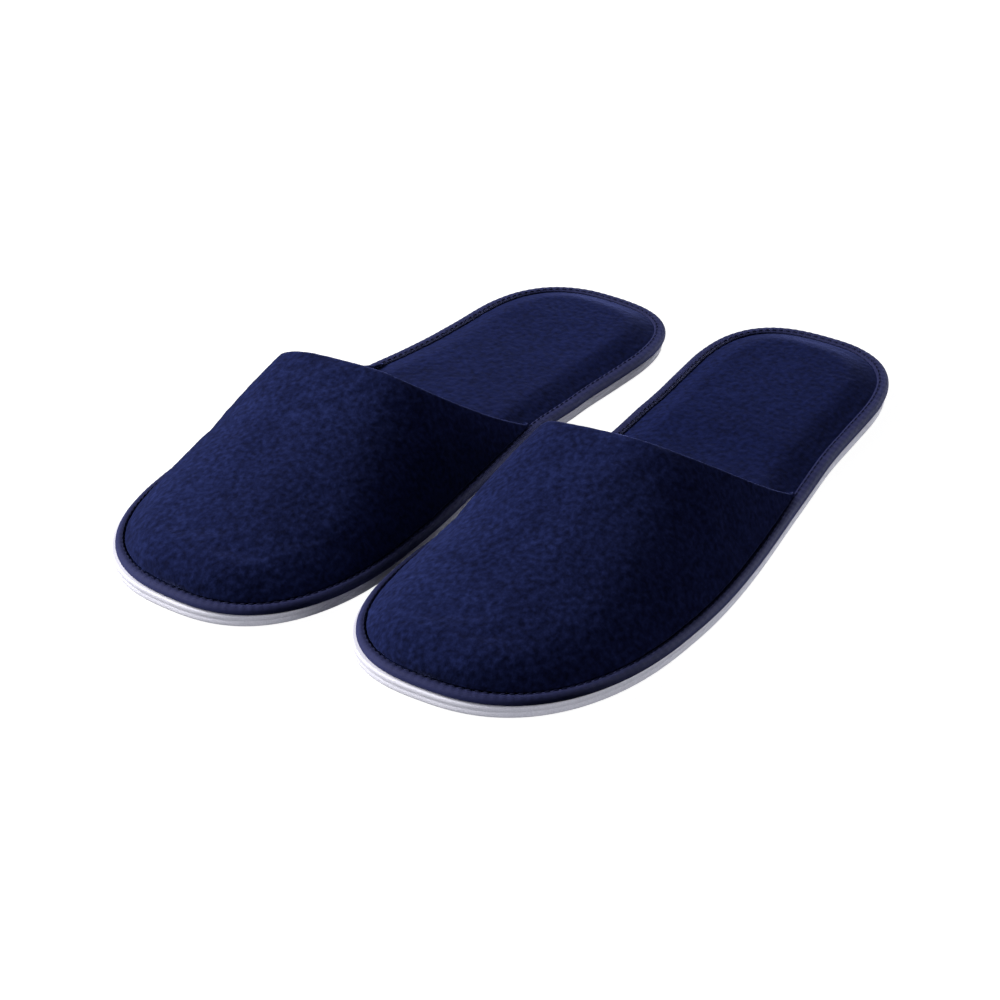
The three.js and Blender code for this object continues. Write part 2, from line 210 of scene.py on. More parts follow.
# --- how finely the meshes are drawn; the last two are in metres
RIM_POINTS = 960
RIM_RINGS = 66
SPONGE_RINGS = 26
FLAT_RINGS = 8
UPPER_ROWS = 150
UPPER_COLUMNS = 192
ROW_CROWDING = 1.25
ARCH_SAMPLES = 1501
ARCH_AHEAD_OF_RIDGE_TOP = 20
THROAT_TURN_ROWS = 12
TURNED_EDGE_ROWS = 6
SEAM_FROM_COLUMN = 4
TAPE_STEPS_PER_STITCH = 6
THREAD_STEPS_PER_STITCH = 8
THREAD_SIDES = 6
SMOOTHING_PASSES = 4
WELD_DISTANCE = 2e-6
SLIVER_LENGTH = 1e-7


def clamp01(value):
    """The value held between 0 and 1."""
    return np.clip(value, 0, 1)


def smooth(value):
    """A soft step from 0 to 1."""
    return clamp01(value) ** 2 * (3 - 2 * clamp01(value))


# ------------------------------------------------------------------ plan outline
def half_width(y):
    """Half the width of the outline at a place along the slipper."""
    taper = smooth((y - FOREFOOT_FULL_UNTIL_Y) / (HEEL_NARROW_FROM_Y - FOREFOOT_FULL_UNTIL_Y))
    base = FOREFOOT_HALF_WIDTH + (HEEL_HALF_WIDTH - FOREFOOT_HALF_WIDTH) * taper
    toe = clamp01((TOE_CAP_START_Y - y) / (TOE_CAP_START_Y + HALF_LENGTH))
    heel = clamp01((y - HEEL_CAP_START_Y) / (HALF_LENGTH - HEEL_CAP_START_Y))
    toe_cap = (1 - toe**TOE_ROUNDNESS) ** (1 / TOE_ROUNDNESS)
    heel_cap = (1 - heel**HEEL_ROUNDNESS) ** (1 / HEEL_ROUNDNESS)
    return base * toe_cap * heel_cap


def centre_line(y):
    """Where the middle of the outline lies: bowed outward, with toe and heel turned in."""
    toward_toe = (BOW_Y - y) / (BOW_Y + HALF_LENGTH)
    toward_heel = (y - BOW_Y) / (HALF_LENGTH - BOW_Y)
    turn = np.where(y < BOW_Y, TOE_TURN_IN * toward_toe**2, HEEL_TURN_IN * toward_heel**2)
    return BOW_OUTWARD - turn


def outline_side(side, count):
    """One side of the outline from toe tip to heel tip, evenly spaced along the edge."""
    y = -HALF_LENGTH * np.cos(np.linspace(0, math.pi, 4 * count))
    x = centre_line(y) + side * half_width(y)
    run = np.concatenate([[0], np.cumsum(np.hypot(np.diff(x), np.diff(y)))])
    want = np.linspace(0, run[-1], count + 1)
    return np.stack([np.interp(want, run, x), np.interp(want, run, y)], axis=1)


def inset_ring(ring, inset):
    """The closed outline moved inward by a distance, outward when negative."""
    along = np.roll(ring, -1, axis=0) - np.roll(ring, 1, axis=0)
    along /= np.linalg.norm(along, axis=1)[:, None]
    return ring + inset * np.stack([-along[:, 1], along[:, 0]], axis=1)


HALF_RIM = RIM_POINTS // 2
OUTLINE = np.concatenate([outline_side(1, HALF_RIM), outline_side(-1, HALF_RIM)[::-1][1:-1]])


def tree_of(points):
    """A search tree that finds the nearest of some plan points."""
    tree = KDTree(len(points))
    for k, (x, y) in enumerate(points):
        tree.insert((x, y, 0), k)
    tree.balance()
    return tree


OUTLINE_TREE = tree_of(OUTLINE)


def across_at(inset, across, y):
    """x at a share of the way across the inset outline, from -1 to 1."""
    ring = inset_ring(OUTLINE, inset)
    right = ring[: HALF_RIM + 1]
    left = np.concatenate([ring[:1], ring[HALF_RIM:][::-1]])
    high = np.interp(y, right[:, 1], right[:, 0])
    low = np.interp(y, left[:, 1], left[:, 0])
    return (low + high) / 2 + across * (high - low) / 2


def inset_of(points):
    """Distance of plan points from the outline."""
    return np.array([OUTLINE_TREE.find((x, y, 0))[2] for x, y in points])


def rim_grid(inset, rings=RIM_RINGS):
    """Plan points in rings from an inset outline in to the spine of the sole, as [ring, point, xy]."""
    edge = inset_ring(OUTLINE, inset)
    mirror = np.roll(edge[::-1], 1, axis=0)
    spine_y = np.clip((edge[:, 1] + mirror[:, 1]) / 2, SPINE_FROM_Y, SPINE_TO_Y)
    spine = np.stack([centre_line(spine_y), spine_y], axis=1)
    share = np.linspace(0, 1, rings + 1)
    return edge[None] + share[:, None, None] * (spine - edge)[None]


def raised(grid, height):
    """A ring grid given heights, which are one number or a function of plan points."""
    flat = grid.reshape(-1, 2)
    z = height(flat) if callable(height) else np.full(len(flat), float(height))
    return np.concatenate([flat, z[:, None]], axis=1).reshape(*grid.shape[:2], 3)


# ------------------------------------------------------------------ closed meshes
def grid_faces(rows, cols, first, wrap_rows, wrap_cols):
    """Quads of a grid of points numbered row by row from first."""
    r = np.arange(rows if wrap_rows else rows - 1)[:, None]
    c = np.arange(cols if wrap_cols else cols - 1)[None, :]
    quads = [first + (row % rows) * cols + (col % cols)
             for row, col in ((r, c), (r, c + 1), (r + 1, c + 1), (r + 1, c))]
    return np.stack([np.broadcast_to(q, np.broadcast(r, c).shape).ravel() for q in quads], axis=1).tolist()


def tube(sections):
    """A closed loop of closed sections, as [station, point round the section, xyz]."""
    stations, around = sections.shape[:2]
    return sections.reshape(-1, 3), grid_faces(stations, around, 0, True, True)


def plate(top, bottom, walls=()):
    """A body between two ring grids; walls are rings between the two rims, from top to bottom."""
    rim = np.stack([top[0], *walls, bottom[0]])
    parts = [top[::-1], rim, bottom]
    points, faces, first = [], [], 0
    for part in parts:
        points.append(part.reshape(-1, 3))
        faces.append(grid_faces(part.shape[0], part.shape[1], first, False, True))
        first += part.shape[0] * part.shape[1]
    return np.concatenate(points), sum(faces, [])


def slab(outer, inner):
    """A body between two equal grids, closed along its four edges."""
    rows, cols = outer.shape[:2]
    points = np.concatenate([outer.reshape(-1, 3), inner.reshape(-1, 3)])
    under = rows * cols
    index = np.arange(under).reshape(rows, cols)
    loop = np.concatenate([index[0, :-1], index[:-1, -1], index[-1, :0:-1], index[:0:-1, 0]])
    after = np.roll(loop, -1)
    wall = np.stack([loop, loop + under, after + under, after], axis=1).tolist()
    over_faces = grid_faces(rows, cols, 0, False, False)
    under_faces = grid_faces(rows, cols, under, False, False)
    return points, [*over_faces, *wall, *under_faces]


# ------------------------------------------------------------------ placing
def joint_of(foot):
    """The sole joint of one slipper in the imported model."""
    return next(j for j in frame["joints"] if j["name"] == f"{foot}_sole_flex")


def lying(points, foot):
    """The drawn slipper as it lies: toes and heel pushed sideways, heel a little wider and lifted."""
    x, y, z = points.T
    middle = centre_line(y)
    heelward = smooth((y - HEEL_WIDENING_FROM_Y) / HEEL_WIDENING_RUN)
    widening = HEEL_WIDENING[foot] * heelward
    push = TOE_SHIFT[foot] * smooth((TOE_SHIFT_FROM_Y - y) / TOE_SHIFT_RUN) + HEEL_SHIFT[foot] * heelward
    longer = TOE_LENGTHENING * smooth((TOE_LENGTHENING_FROM_Y - y) / TOE_SHIFT_RUN)
    behind = np.maximum(0, y - LIFT_FROM_Y[foot])
    slope = np.tan(np.radians(LIFT_DEG[foot] * smooth(behind / LIFT_RUN)))
    x = middle + (x - middle) * (1 + widening) + push
    return np.stack([x, y - longer, z + behind * slope], axis=1)


def placed(points, foot):
    """Slipper millimetres to metres in the shared frame."""
    joint = joint_of(foot)
    local = lying(np.asarray(points, float), foot)
    local -= (float(centre_line(np.float64(FLEX_Y))), FLEX_Y, FLEX_HEIGHT)
    local[:, 0] *= SIDE[foot]
    cos, sin = joint["axis"][0], joint["axis"][1]
    x = cos * local[:, 0] - sin * local[:, 1]
    y = sin * local[:, 0] + cos * local[:, 1]
    return np.stack([x, y, local[:, 2]], axis=1) * MM + np.array(joint["pos_m"])


def add_piece(name, foot, body, material):
    """A closed smooth mesh object from points and quads in slipper millimetres."""
    points, faces = body
    mesh = bpy.data.meshes.new(name)
    mesh.from_pydata(placed(points, foot).tolist(), [], faces)
    work = bmesh.new()
    work.from_mesh(mesh)
    bmesh.ops.remove_doubles(work, verts=work.verts, dist=WELD_DISTANCE)
    bmesh.ops.dissolve_degenerate(work, edges=work.edges, dist=SLIVER_LENGTH)
    bmesh.ops.recalc_face_normals(work, faces=work.faces)
    work.to_mesh(mesh)
    work.free()
    mesh.polygons.foreach_set("use_smooth", [True] * len(mesh.polygons))
    mesh.materials.append(material)
    piece = bpy.data.objects.new(name, mesh)
    bpy.context.scene.collection.objects.link(piece)
    return piece


def bends(piece, foot, node):
    """A full-length piece stands for the front and heel parts of a CAD node, which are hidden; its
    placement is baked into its mesh.
    """
    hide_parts(f"{foot}_{node}_front", f"{foot}_{node}_heel")
    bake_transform(piece)


def rides(piece, foot, node):
    """A piece of the upper stands for one CAD node and moves with the forefoot."""
    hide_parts(f"{foot}_{node}")
    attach(piece, f"{foot}_forefoot")


# ------------------------------------------------------------------ cloth
def cloth_swell(points, held, pressure, slack, cap):
    """How a sewn-down cloth moves when the padding presses on it, in millimetres for a grid of points.

    held is how firmly each point is sewn, slack how much longer the cloth is than its place, and no
    point moves further than cap.
    """
    rows, cols = points.shape[:2]
    mesh = bpy.data.meshes.new("cloth")
    mesh.from_pydata((points.reshape(-1, 3) * MM).tolist(), [], grid_faces(rows, cols, 0, False, False))
    cloth = bpy.data.objects.new("cloth", mesh)
    bpy.context.scene.collection.objects.link(cloth)
    sewn = cloth.vertex_groups.new(name="sewn")
    for k, firmness in enumerate(held.ravel()):
        sewn.add([k], float(firmness), "REPLACE")
    modifier = cloth.modifiers.new("cloth", "CLOTH")
    settings = modifier.settings
    settings.vertex_group_mass = sewn.name
    settings.quality = CLOTH_QUALITY
    settings.mass = CLOTH_MASS
    settings.bending_stiffness = CLOTH_BENDING
    settings.shrink_min = -slack
    settings.use_pressure = True
    settings.uniform_pressure_force = pressure
    settings.effector_weights.gravity = 0
    modifier.collision_settings.use_collision = False
    modifier.point_cache.frame_end = CLOTH_FRAMES
    for step in range(1, CLOTH_FRAMES + 1):
        bpy.context.scene.frame_set(step)
    settled = cloth.evaluated_get(bpy.context.evaluated_depsgraph_get()).to_mesh()
    moved = np.empty(len(settled.vertices) * 3)
    settled.vertices.foreach_get("co", moved)
    moved = moved.reshape(rows, cols, 3) / MM - points
    bpy.data.objects.remove(cloth)
    bpy.context.scene.frame_set(1)
    far = np.linalg.norm(moved, axis=-1, keepdims=True)
    return moved * np.minimum(1, cap / np.maximum(far, 1e-6))


def sampled(field, row, col):
    """A grid of vectors read between its points, at fractional rows and columns."""
    r0 = np.clip(np.floor(row).astype(int), 0, field.shape[0] - 2)
    c0 = np.clip(np.floor(col).astype(int), 0, field.shape[1] - 2)
    r = np.clip(row - r0, 0, 1)[..., None]
    c = np.clip(col - c0, 0, 1)[..., None]
    near = field[r0, c0] * (1 - c) + field[r0, c0 + 1] * c
    far = field[r0 + 1, c0] * (1 - c) + field[r0 + 1, c0 + 1] * c
    return near * (1 - r) + far * r


def refined(field, rows, cols):
    """A coarse grid of vectors brought to more rows and columns, without facets."""
    row = np.linspace(0, field.shape[0] - 1, rows)[:, None]
    col = np.linspace(0, field.shape[1] - 1, cols)[None]
    fine = sampled(field, *np.broadcast_arrays(row, col))
    for _ in range(SMOOTHING_PASSES):
        fine[1:-1] = (fine[:-2] + 2 * fine[1:-1] + fine[2:]) / 4
        fine[:, 1:-1] = (fine[:, :-2] + 2 * fine[:, 1:-1] + fine[:, 2:]) / 4
    return fine


# ------------------------------------------------------------------ materials
def node_material(name):
    """A new material with its nodes, links and principled shader."""
    material = bpy.data.materials.new(name)
    material.use_nodes = True
    nodes = material.node_tree.nodes
    return material, nodes, material.node_tree.links, nodes["Principled BSDF"]


def noise_node(nodes, links, scale, detail=2.0, roughness=0.5):
    """A noise of the given number of features per metre."""
    coords = nodes.new("ShaderNodeTexCoord")
    texture = nodes.new("ShaderNodeTexNoise")
    texture.inputs["Scale"].default_value = scale
    texture.inputs["Detail"].default_value = detail
    texture.inputs["Roughness"].default_value = roughness
    links.new(coords.outputs["Object"], texture.inputs["Vector"])
    return texture.outputs["Fac"]


# The mix node has sockets of every type under the same names, so its colour ones go by number.
MIX_COLOUR_A = 6
MIX_COLOUR_B = 7
MIX_COLOUR_RESULT = 2
WHITE = (1.0, 1.0, 1.0)


def ramp_node(nodes, links, source, stops):
    """A colour ramp; stops are (position, colour)."""
    ramp = nodes.new("ShaderNodeValToRGB")
    elements = ramp.color_ramp.elements
    while len(elements) < len(stops):
        elements.new(0.5)
    for element, (position, colour) in zip(elements, stops):
        element.position = position
        element.color = (*colour, 1)
    links.new(source, ramp.inputs["Fac"])
    return ramp.outputs["Color"]


def shaded(nodes, links, colour, shade, share=1.0):
    """A colour multiplied by a shade, by a share of its full strength."""
    mix = nodes.new("ShaderNodeMix")
    mix.data_type = "RGBA"
    mix.blend_type = "MULTIPLY"
    mix.inputs["Factor"].default_value = share
    links.new(colour, mix.inputs[MIX_COLOUR_A])
    links.new(shade, mix.inputs[MIX_COLOUR_B])
    return mix.outputs[MIX_COLOUR_RESULT]


def bump_node(nodes, links, height, distance, strength=1.0, under=None):
    """Relief of a height in metres, on top of another relief if one is given."""
    bump = nodes.new("ShaderNodeBump")
    bump.inputs["Strength"].default_value = strength
    bump.inputs["Distance"].default_value = distance
    links.new(height, bump.inputs["Height"])
    if under:
        links.new(under, bump.inputs["Normal"])
    return bump.outputs["Normal"]


def roughness_from(nodes, links, source, low, high, shader):
    """Roughness that varies with a texture between two values."""
    spread = nodes.new("ShaderNodeMapRange")
    spread.inputs["To Min"].default_value = low
    spread.inputs["To Max"].default_value = high
    links.new(source, spread.inputs["Value"])
    links.new(spread.outputs["Result"], shader.inputs["Roughness"])


def velour(name, deep, mid, light, tuft_bump):
    """Short raised pile: mottled tufts over brushed patches, with a soft sheen."""
    material, nodes, links, shader = node_material(name)
    tufts = noise_node(nodes, links, 480)
    fibres = noise_node(nodes, links, 2400, roughness=0.6)
    patches = noise_node(nodes, links, 34)
    tuft_colour = ramp_node(nodes, links, tufts, [(0.3, deep), (0.52, mid), (0.76, light)])
    patch_shade = ramp_node(nodes, links, patches, [(0.3, (0.72, 0.72, 0.76)), (0.7, WHITE)])
    fibre_shade = ramp_node(nodes, links, fibres, [(0.3, (0.6, 0.6, 0.64)), (0.7, WHITE)])
    colour = shaded(nodes, links, tuft_colour, patch_shade)
    colour = shaded(nodes, links, colour, fibre_shade, 0.3)
    links.new(colour, shader.inputs["Base Color"])
    roughness_from(nodes, links, tufts, 0.86, 1.0, shader)
    shader.inputs["Sheen Weight"].default_value = 0.22
    shader.inputs["Sheen Roughness"].default_value = 0.38
    shader.inputs["Sheen Tint"].default_value = (0.3, 0.37, 1.0, 1)
    shader.inputs["Specular IOR Level"].default_value = 0.03
    normal = bump_node(nodes, links, tufts, tuft_bump)
    normal = bump_node(nodes, links, fibres, 0.00008, 0.8, normal)
    links.new(normal, shader.inputs["Normal"])
    return material


def woven_tape(name, deep, light):
    """Fine twill tape: slanting ribs, slightly glossier than pile."""
    material, nodes, links, shader = node_material(name)
    coords = nodes.new("ShaderNodeTexCoord")
    ribs = nodes.new("ShaderNodeTexWave")
    ribs.bands_direction = "DIAGONAL"
    ribs.inputs["Scale"].default_value = 1300
    ribs.inputs["Distortion"].default_value = 1.5
    ribs.inputs["Detail"].default_value = 1
    links.new(coords.outputs["Object"], ribs.inputs["Vector"])
    yarn = noise_node(nodes, links, 1500)
    wear = noise_node(nodes, links, 60)
    colour = ramp_node(nodes, links, ribs.outputs["Fac"], [(0.0, deep), (1.0, light)])
    wear_shade = ramp_node(nodes, links, wear, [(0.3, (0.82, 0.82, 0.85)), (0.7, WHITE)])
    yarn_shade = ramp_node(nodes, links, yarn, [(0.3, (0.8, 0.8, 0.82)), (0.7, WHITE)])
    colour = shaded(nodes, links, colour, wear_shade)
    colour = shaded(nodes, links, colour, yarn_shade, 0.8)
    links.new(colour, shader.inputs["Base Color"])
    roughness_from(nodes, links, yarn, 0.6, 0.8, shader)
    shader.inputs["Sheen Weight"].default_value = 0.05
    shader.inputs["Sheen Roughness"].default_value = 0.4
    shader.inputs["Sheen Tint"].default_value = (0.4, 0.45, 1.0, 1)
    shader.inputs["Specular IOR Level"].default_value = 0.06
    normal = bump_node(nodes, links, ribs.outputs["Fac"], 0.00005, 0.6)
    normal = bump_node(nodes, links, yarn, 0.0001, 0.6, normal)
    links.new(normal, shader.inputs["Normal"])
    return material


def plain_grain(name, deep, light, scale, bump, rough, specular=0.1):
    """A matt surface with grain, for thread, sponge, board and foam sole."""
    material, nodes, links, shader = node_material(name)
    grain = noise_node(nodes, links, scale, 3.0, 0.6)
    clouds = noise_node(nodes, links, 45)
    colour = ramp_node(nodes, links, grain, [(0.3, deep), (0.7, light)])
    cloud_shade = ramp_node(nodes, links, clouds, [(0.3, (0.93, 0.93, 0.94)), (0.7, WHITE)])
    colour = shaded(nodes, links, colour, cloud_shade)
    links.new(colour, shader.inputs["Base Color"])
    roughness_from(nodes, links, grain, rough - 0.08, rough + 0.06, shader)
    shader.inputs["Specular IOR Level"].default_value = specular
    links.new(bump_node(nodes, links, grain, bump), shader.inputs["Normal"])
    return material


# Colours from deep to light; grain is in features per metre and relief in metres.
MATERIALS = {
    "velour": velour(
        "navy_velour", (0.0032, 0.0050, 0.026), (0.0072, 0.0114, 0.053), (0.0136, 0.0210, 0.088),
        tuft_bump=0.0003),
    "insole": velour(
        "navy_insole_velour", (0.0022, 0.0038, 0.023), (0.0045, 0.0080, 0.046), (0.0080, 0.0130, 0.068),
        tuft_bump=0.0002),
    "binding": woven_tape("navy_tape", (0.0105, 0.0124, 0.043), (0.0138, 0.0160, 0.054)),
    "lining": plain_grain(
        "navy_lining", (0.007, 0.009, 0.045), (0.014, 0.018, 0.08),
        scale=900, bump=0.0003, rough=0.92),
    "thread": plain_grain(
        "navy_thread", (0.0065, 0.0085, 0.034), (0.0115, 0.0140, 0.052),
        scale=3000, bump=0.0001, rough=0.8),
    "foam": plain_grain(
        "cream_sponge", (0.62, 0.58, 0.46), (0.8, 0.76, 0.64),
        scale=1400, bump=0.0004, rough=0.92),
    "board": plain_grain(
        "white_board", (0.7, 0.7, 0.68), (0.82, 0.82, 0.8),
        scale=500, bump=0.0001, rough=0.85, specular=0.3),
    "white_eva": plain_grain(
        "white_foam_sole", (0.53, 0.53, 0.6), (0.63, 0.63, 0.7),
        scale=1600, bump=0.00012, rough=0.55, specular=0.3),
}


# ------------------------------------------------------------------ sole stack
def cover_top(inset):
    """Height of the insole: it rolls up against the tape, then crowns gently."""
    roll = EDGE_ROLL * smooth((inset - EDGE_ROLL_FROM_INSET) / EDGE_ROLL_RUN)
    crown = COVER_CROWN * smooth((inset - CROWN_FROM_INSET) / CROWN_RUN) ** CROWN_POWER
    return COVER_EDGE_TOP + roll + crown


def tread(points):
    """Height of the sole's underside: low round studs in a staggered pattern, away from the edge."""
    half_pitch = TREAD_PITCH / 2
    row = np.round(points[:, 1] / half_pitch)
    offset = np.where(row % 2 == 0, 0, half_pitch)
    along = points[:, 1] - row * half_pitch
    across = (points[:, 0] - offset + half_pitch) % TREAD_PITCH - half_pitch
    off_centre = np.hypot(along, across) / (TREAD_PITCH * STUD_RADIUS_SHARE)
    inside = smooth((inset_of(points) - TREAD_MARGIN) / TREAD_FADE)
    return TREAD_DEPTH * inside * smooth(off_centre**2)


@functools.lru_cache
def sole_body():
    """Foam sole: rounded edges, a fine parting groove round the side and studs below."""
    corner = [(SOLE_CORNER * (1 - math.sin(a)), SOLE_CORNER * (1 - math.cos(a)))
              for a in np.linspace(0, math.pi / 2, SOLE_CORNER_POINTS)]
    top_side = [(inset, SOLE_THICKNESS - drop) for inset, drop in corner]
    groove = [(0, SOLE_GROOVE_HEIGHT + SOLE_GROOVE_HALF_WIDTH), (SOLE_GROOVE_DEPTH, SOLE_GROOVE_HEIGHT),
              (0, SOLE_GROOVE_HEIGHT - SOLE_GROOVE_HALF_WIDTH)]
    low_side = corner[::-1]
    walls = [raised(rim_grid(inset - SOLE_MARGIN, 1), z)[0]
             for inset, z in top_side[1:] + groove + low_side[:-1]]
    top = raised(rim_grid(SOLE_CORNER - SOLE_MARGIN, FLAT_RINGS), SOLE_THICKNESS)
    return plate(top, raised(rim_grid(SOLE_CORNER - SOLE_MARGIN), tread), walls)


@functools.lru_cache
def board_body():
    """Flat stiffener between the foam sole and the insole's sponge."""
    grid = rim_grid(STACK_INSET, FLAT_RINGS)
    return plate(raised(grid, BOARD_TOP), raised(grid, BOARD_BOTTOM))


def insole_unevenness(points):
    """Soft low hollows and swells of the insole, fading out toward its edge."""
    swell = np.array([noise.noise(Vector((x / UNEVEN_WIDTH, y / UNEVEN_LENGTH, 3))) for x, y in points])
    return UNEVEN_HEIGHT * swell * smooth((inset_of(points) - CROWN_FROM_INSET) / UNEVEN_RUN)


@functools.lru_cache
def insole_swell():
    """How the insole's velour lies over its sponge, sewn down all round under the tape."""
    step = RIM_POINTS // INSOLE_CLOTH_POINTS
    plan = rim_grid(STACK_INSET, INSOLE_CLOTH_RINGS)[:, ::step]
    surface = raised(plan, lambda p: cover_top(inset_of(p)))
    closed = np.concatenate([surface, surface[:, :1]], axis=1)
    held = np.zeros(closed.shape[:2])
    held[:2] = 1
    return cloth_swell(closed, held, INSOLE_PRESSURE, INSOLE_SLACK, INSOLE_SWELL_CAP)


@functools.lru_cache
def insole_surface(rings):
    """The top of the insole's velour, without its pile, as a ring grid."""
    surface = raised(rim_grid(STACK_INSET, rings), lambda p: cover_top(inset_of(p)) + insole_unevenness(p))
    swell = refined(insole_swell(), rings + 1, RIM_POINTS + 1)
    surface[..., 2] += np.maximum(0, swell[:, :-1, 2])
    return surface


def lowered(surface, drop):
    """The same surface, lower by a distance."""
    return surface - (0, 0, drop)


@functools.lru_cache
def insole_sponge_body():
    """Sponge that fills the crown under the velour."""
    top = lowered(insole_surface(SPONGE_RINGS), COVER_THICKNESS + LAYER_GAP)
    return plate(top, raised(rim_grid(STACK_INSET, SPONGE_RINGS), SPONGE_BOTTOM))


def pile_height(points, tuft, pile):
    """How far the velour's tufts stand out at each point of a grid."""
    height = np.array([noise.noise(Vector(p / tuft)) for p in points.reshape(-1, 3)])
    return pile * height.reshape(points.shape[:2])


@functools.lru_cache
def insole_cover_body():
    """Velour over the sponge, with its pile on top."""
    top = insole_surface(RIM_RINGS).copy()
    top[..., 2] += pile_height(top, INSOLE_TUFT, INSOLE_PILE)
    return plate(top, lowered(insole_surface(SPONGE_RINGS), COVER_THICKNESS))


# ------------------------------------------------------------------ edge tape and its seam
def tape_inset(inset, y):
    """Beyond its outer roll the tape is narrower round the toes, where the upper lies over it."""
    narrow = 1 - TAPE_NARROWING * smooth((TAPE_FULL_FROM_Y - y) / (TAPE_FULL_FROM_Y - TAPE_NARROW_TO_Y))
    return np.minimum(inset, TAPE_ROUND) + np.maximum(0, inset - TAPE_ROUND) * narrow


def along_rim(inset, count):
    """Evenly spaced points on the inset outline with the inward direction, as two arrays."""
    ring = inset_ring(OUTLINE, inset)
    closed = np.concatenate([ring, ring[:1]])
    run = np.concatenate([[0], np.cumsum(np.linalg.norm(np.diff(closed, axis=0), axis=1))])
    want = np.arange(count) * run[-1] / count
    at = np.stack([np.interp(want, run, closed[:, k]) for k in (0, 1)], axis=1)
    along = np.roll(at, -1, axis=0) - np.roll(at, 1, axis=0)
    along /= np.linalg.norm(along, axis=1)[:, None]
    return at, np.stack([-along[:, 1], along[:, 0]], axis=1)


def rim_stitches():
    """How many stitches go round the rim."""
    ring = inset_ring(OUTLINE, STITCH_INSET)
    length = np.linalg.norm(ring - np.roll(ring, 1, axis=0), axis=1).sum()
    return int(round(length / STITCH_PITCH))


def rounded(corners, steps):
    """A smooth line through corner points."""
    p = np.array(corners, float)
    run = np.concatenate([[0], np.cumsum(np.linalg.norm(np.diff(p, axis=0), axis=1))])
    tangent = np.gradient(p, run, axis=0)
    line = []
    for k in range(len(p) - 1):
        size = run[k + 1] - run[k]
        for t in np.arange(steps) / steps:
            bend = [2 * t**3 - 3 * t**2 + 1, t**3 - 2 * t**2 + t, 3 * t**2 - 2 * t**3, t**3 - t**2]
            line.append(bend[0] * p[k] + bend[1] * size * tangent[k]
                        + bend[2] * p[k + 1] + bend[3] * size * tangent[k + 1])
    return np.array([*line, p[-1]])


@functools.lru_cache
def tape_body():
    """Folded tape, drawn in a little at each stitch."""
    count = rim_stitches() * TAPE_STEPS_PER_STITCH
    at, inward = along_rim(0, count)
    section = np.concatenate([rounded(TAPE_OUTSIDE, 2), rounded(TAPE_INSIDE, 1)])
    phase = np.arange(count) * 2 * math.pi / TAPE_STEPS_PER_STITCH
    upper_fold = smooth((section[:, 1] - TAPE_MIDDLE_HEIGHT) / TAPE_PULL_RISE)
    pull = TAPE_PULL * (1 + np.cos(phase))
    wander = TAPE_WANDER * np.array([noise.noise(Vector((x, y, 1))) for x, y in at / TAPE_WANDER_LENGTH])
    points = np.empty((count, len(section), 3))
    inset = tape_inset(section[None, :, 0], at[:, 1:]) + wander[:, None] * upper_fold[None]
    points[..., :2] = at[:, None] + inward[:, None] * inset[..., None]
    points[..., 2] = section[None, :, 1] - pull[:, None] * upper_fold[None]
    return tube(points)


def thread_sections(path, side):
    """Round sections of a thread along a path; side is the level direction across it."""
    turn = np.arange(THREAD_SIDES) * 2 * math.pi / THREAD_SIDES
    up = np.array([0, 0, 1])
    offset = side[:, None] * np.cos(turn)[None, :, None] + up * np.sin(turn)[None, :, None]
    return path[:, None] + offset * THREAD_RADIUS


@functools.lru_cache
def edge_stitches_body():
    """One thread that shows as short stitches and dives between them."""
    count = rim_stitches() * THREAD_STEPS_PER_STITCH
    at, inward = along_rim(0, count)
    at = at + inward * tape_inset(STITCH_INSET, at[:, 1:])
    share = (np.arange(count) % THREAD_STEPS_PER_STITCH) / THREAD_STEPS_PER_STITCH
    height = STITCH_HEIGHT - STITCH_DIVE * np.abs(np.cos(math.pi * share)) ** STITCH_FLATNESS
    path = np.concatenate([at, height[:, None]], axis=1)
    side = np.concatenate([inward, np.zeros((count, 1))], axis=1)
    return tube(thread_sections(path, side))


# ------------------------------------------------------------------ upper
UPPER_TIP_Y = -HALF_LENGTH + UPPER_INSET
FOOT_DEPTH = FOOT_TAPER * UPPER_DEPTH
FOOT_CLIMB = (cover_top(UPPER_INSET + FOOT_DEPTH) - cover_top(UPPER_INSET)) / FOOT_DEPTH
FOOT_HEIGHT = float(cover_top(UPPER_INSET)) + FOOT_GAP


def by_side(pair, across):
    """The first value toward the other slipper, the second toward the outside."""
    return np.where(across < 0, pair[0], pair[1])


def throat_y(foot, across):
    """Where the throat edge lies, nearest the toes in the middle and swept back along both sides."""
    power = by_side(THROAT_SWEEP_POWER[foot], across)
    sweep = by_side(THROAT_SWEEP[foot], across)
    return THROAT_CENTRE_Y[foot] + THROAT_SKEW[foot] * across + sweep * np.abs(across) ** power


def ridge(foot, share):
    """Rise of the ridge above the foot line, from the toe tip (0) to the throat (1)."""
    bulge = np.sqrt(1 - (1 - clamp01(share / TOE_BULGE_SHARE)) ** TOE_BULGE_POWER)
    climb = np.minimum(share, RIDGE_END) ** RIDGE_POWER
    return TOE_BULGE * bulge + (UPPER_RISE[foot] - TOE_BULGE) * climb


def upper_point(foot, across, y):
    """The upper's outer face: an arch over the insole that changes shape toward the throat."""
    share = np.maximum(0, (y - UPPER_TIP_Y) / (RIDGE_TOP_Y - UPPER_TIP_Y))
    near_throat = smooth((share - THROAT_SHAPE_FROM_SHARE) / (1 - THROAT_SHAPE_FROM_SHARE))
    front = by_side(SECTION_FLATNESS[foot], across)
    flatness = front + (by_side(THROAT_FLATNESS[foot], across) - front) * near_throat
    arch = clamp01(1 - np.abs(across) ** flatness) ** SECTION_ROUNDING
    x = across_at(UPPER_INSET, across, y)
    return np.stack([x, y, FOOT_HEIGHT + ridge(foot, share) * arch], axis=-1)


